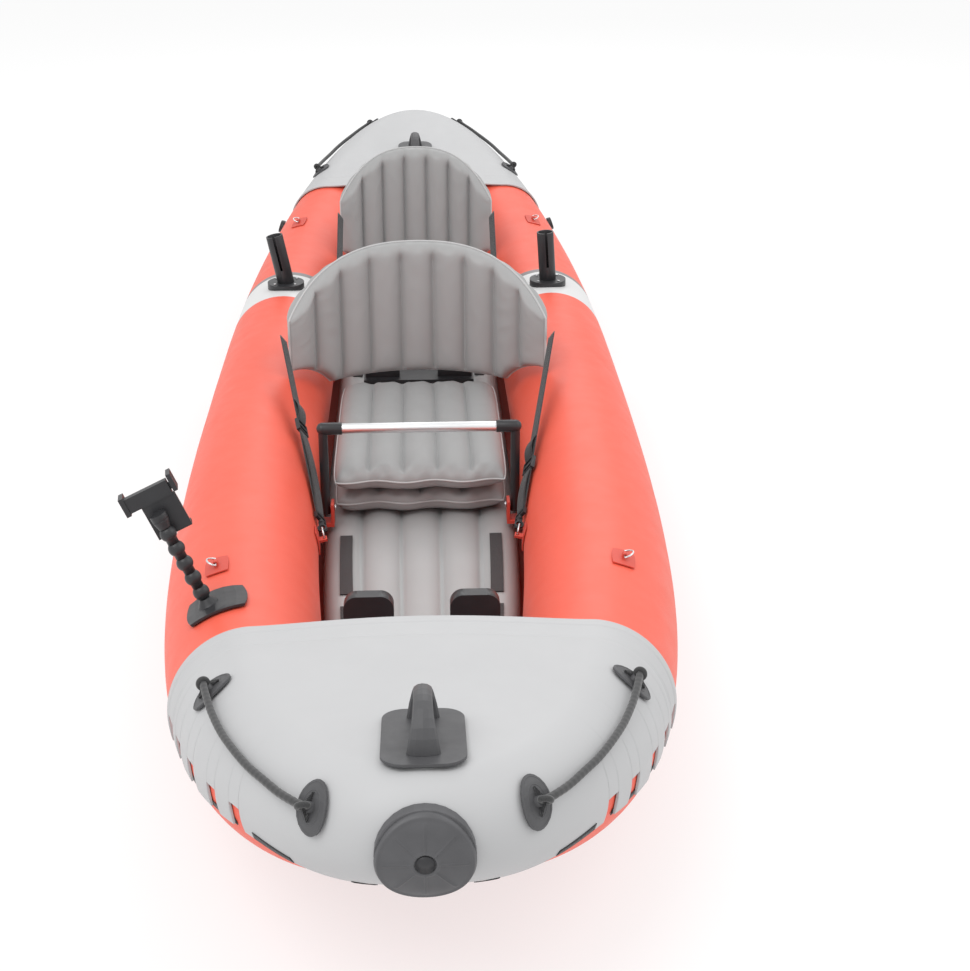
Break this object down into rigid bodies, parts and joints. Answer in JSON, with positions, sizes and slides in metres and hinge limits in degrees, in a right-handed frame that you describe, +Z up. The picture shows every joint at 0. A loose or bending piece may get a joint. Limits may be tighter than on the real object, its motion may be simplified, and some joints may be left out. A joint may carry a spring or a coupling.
{
  "type": "inflatable kayak",
  "caption": "Inflatable sit-in kayak for two with covered ends, high-backed seats, folding accessory bar, rod holders, phone arm, grab lines and a removable skeg.",
  "frame": {"origin": "centre of the bounding box, on the ground under the hull", "axes": "+Y along the hull towards the stern, +Z up, +X to port"},
  "size_m": [0.94, 3.84, 0.5162],
  "materials": {
    "hull_fabric": "satin",
    "bottom_fabric": "matte",
    "cover_fabric": "matte",
    "floor_fabric": "satin",
    "seat_fabric": "matte",
    "webbing": "matte",
    "rope": "matte",
    "patch_rubber": "matte",
    "bumper_rubber": "matte",
    "red_patch": "satin",
    "black_plastic": "satin",
    "steel": "satin",
    "bar_aluminium": "satin"
  },
  "bodies": {
    "hull": {"chamber_port": "hull_fabric", "chamber_starboard": "hull_fabric", "hull_bottom": "bottom_fabric", "floor_chamber": "floor_fabric", "bow_cover": "cover_fabric", "stern_cover": "cover_fabric", "bow_bumper": "bumper_rubber", "stern_bumper": "bumper_rubber", "handle_patches": "patch_rubber", "bow_handle": "patch_rubber", "stern_handle": "patch_rubber", "rope_patches_bow": "patch_rubber", "rope_patches_stern": "patch_rubber", "grab_line_bow_port": "rope", "grab_line_bow_starboard": "rope", "grab_line_stern_port": "rope", "grab_line_stern_starboard": "rope", "front_seat_base": "seat_fabric", "front_seat_cushion": "seat_fabric", "rear_seat_base": "seat_fabric", "rear_seat_cushion": "seat_fabric", "strap_buckles": "black_plastic", "snap_hooks": "black_plastic", "seat_rings": "steel", "rod_bases": "black_plastic", "rod_tube_port": "black_plastic", "rod_tube_starboard": "black_plastic", "rod_screws": "steel", "bar_mounts": "red_patch", "bar_bolts": "steel", "floor_hook_strips": "webbing", "arm_base": "black_plastic", "ring_patches": "red_patch", "valve_bodies": "black_plastic", "skeg_rail": "black_plastic"},
    "front_back": {"front_backrest": "seat_fabric", "front_seat_straps": "webbing"},
    "rear_back": {"rear_backrest": "seat_fabric", "rear_seat_straps": "webbing"},
    "bar": {"bar_leg_port": "black_plastic", "bar_leg_starboard": "black_plastic", "bar_tube": "bar_aluminium"},
    "front_foot": {"front_footrest": "black_plastic"},
    "rear_foot": {"rear_footrest": "black_plastic"},
    "arm_1": {"arm_ball_1": "black_plastic"},
    "arm_2": {"arm_ball_2": "black_plastic"},
    "arm_3": {"arm_ball_3": "black_plastic"},
    "arm_4": {"arm_ball_4": "black_plastic"},
    "arm_5": {"arm_ball_5": "black_plastic"},
    "cradle": {"phone_cradle": "black_plastic"},
    "jaw": {"cradle_jaw": "black_plastic"},
    "ring_bp": {"ring_bow_port": "steel"},
    "ring_bs": {"ring_bow_starboard": "steel"},
    "ring_sp": {"ring_stern_port": "steel"},
    "ring_ss": {"ring_stern_starboard": "steel"},
    "cap_port": {"valve_cap_port": "black_plastic"},
    "cap_starboard": {"valve_cap_starboard": "black_plastic"},
    "cap_floor": {"valve_cap_floor": "black_plastic"},
    "skeg_body": {"skeg": "black_plastic"}
  },
  "joints": [
    {"name": "front_back_recline", "type": "hinge", "parent": "hull", "child": "front_back", "pos_m": [0, 0.012, 0.2126], "axis": [1, 0, 0], "range_deg": [-28, 0], "deforming": ["front_seat_straps"]},
    {"name": "rear_back_recline", "type": "hinge", "parent": "hull", "child": "rear_back", "pos_m": [0, 0.937, 0.2202], "axis": [1, 0, 0], "range_deg": [-28, 0], "deforming": ["rear_seat_straps"]},
    {"name": "bar_fold", "type": "hinge", "parent": "hull", "child": "bar", "pos_m": [0, -0.552, 0.132], "axis": [1, 0, 0], "range_deg": [-40, 55]},
    {"name": "front_foot_slide", "type": "slide", "parent": "hull", "child": "front_foot", "axis": [0, 0.9963, -0.086], "range_m": [0, 0.1]},
    {"name": "rear_foot_slide", "type": "slide", "parent": "hull", "child": "rear_foot", "axis": [0, -1, 0], "range_m": [0, 0.1]},
    {"name": "arm_bend_1", "type": "hinge", "parent": "hull", "child": "arm_1", "pos_m": [-0.34094, -1.22031, 0.30331], "axis": [-0.1486, 0.9817, -0.1189], "range_deg": [-20, 20]},
    {"name": "arm_bend_2", "type": "hinge", "parent": "arm_1", "child": "arm_2", "pos_m": [-0.35181, -1.21897, 0.32799], "axis": [-0.9032, -0.1837, -0.388], "range_deg": [-20, 20]},
    {"name": "arm_bend_3", "type": "hinge", "parent": "arm_2", "child": "arm_3", "pos_m": [-0.36269, -1.21762, 0.35267], "axis": [-0.1486, 0.9817, -0.1189], "range_deg": [-20, 20]},
    {"name": "arm_bend_4", "type": "hinge", "parent": "arm_3", "child": "arm_4", "pos_m": [-0.37356, -1.21628, 0.37735], "axis": [-0.9032, -0.1837, -0.388], "range_deg": [-20, 20]},
    {"name": "arm_bend_5", "type": "hinge", "parent": "arm_4", "child": "arm_5", "pos_m": [-0.38443, -1.21494, 0.40202], "axis": [-0.1486, 0.9817, -0.1189], "range_deg": [-20, 20]},
    {"name": "cradle_swivel", "type": "hinge", "parent": "arm_5", "child": "cradle", "pos_m": [-0.38443, -1.21494, 0.40202], "axis": [-0.4027, 0.0497, 0.914], "range_deg": [-90, 90]},
    {"name": "jaw_slide", "type": "slide", "parent": "cradle", "child": "jaw", "axis": [0.9032, 0.1837, 0.388], "range_m": [0, 0.018], "stiffness_N_per_m": 300, "springref_m": -0.01},
    {"name": "ring_bow_port_swing", "type": "hinge", "parent": "hull", "child": "ring_bp", "pos_m": [0.33697, -1.07413, 0.27987], "axis": [0.1109, 0.9909, -0.0765], "range_deg": [-100, 40]},
    {"name": "ring_bow_starboard_swing", "type": "hinge", "parent": "hull", "child": "ring_bs", "pos_m": [-0.33697, -1.07413, 0.27987], "axis": [0.1109, -0.9909, 0.0765], "range_deg": [-100, 40]},
    {"name": "ring_stern_port_swing", "type": "hinge", "parent": "hull", "child": "ring_sp", "pos_m": [0.3373, 1.07121, 0.28391], "axis": [-0.1107, 0.9889, 0.0986], "range_deg": [-100, 40]},
    {"name": "ring_stern_starboard_swing", "type": "hinge", "parent": "hull", "child": "ring_ss", "pos_m": [-0.3373, 1.07121, 0.28391], "axis": [-0.1107, -0.9889, -0.0986], "range_deg": [-100, 40]},
    {"name": "cap_port_open", "type": "hinge", "parent": "hull", "child": "cap_port", "pos_m": [0.40153, 1.28498, 0.2194], "axis": [-0.2809, -0.2016, 0.9383], "range_deg": [0, 110]},
    {"name": "cap_starboard_open", "type": "hinge", "parent": "hull", "child": "cap_starboard", "pos_m": [-0.40153, 1.28498, 0.2194], "axis": [-0.2809, 0.2016, -0.9383], "range_deg": [0, 110]},
    {"name": "cap_floor_open", "type": "hinge", "parent": "hull", "child": "cap_floor", "pos_m": [0, 0.352, 0.0996], "axis": [-1, 0, 0], "range_deg": [0, 110]},
    {"name": "skeg_slide", "type": "slide", "parent": "hull", "child": "skeg_body", "axis": [0, 0.9345, 0.3559], "range_m": [0, 0.16]}
  ]
}
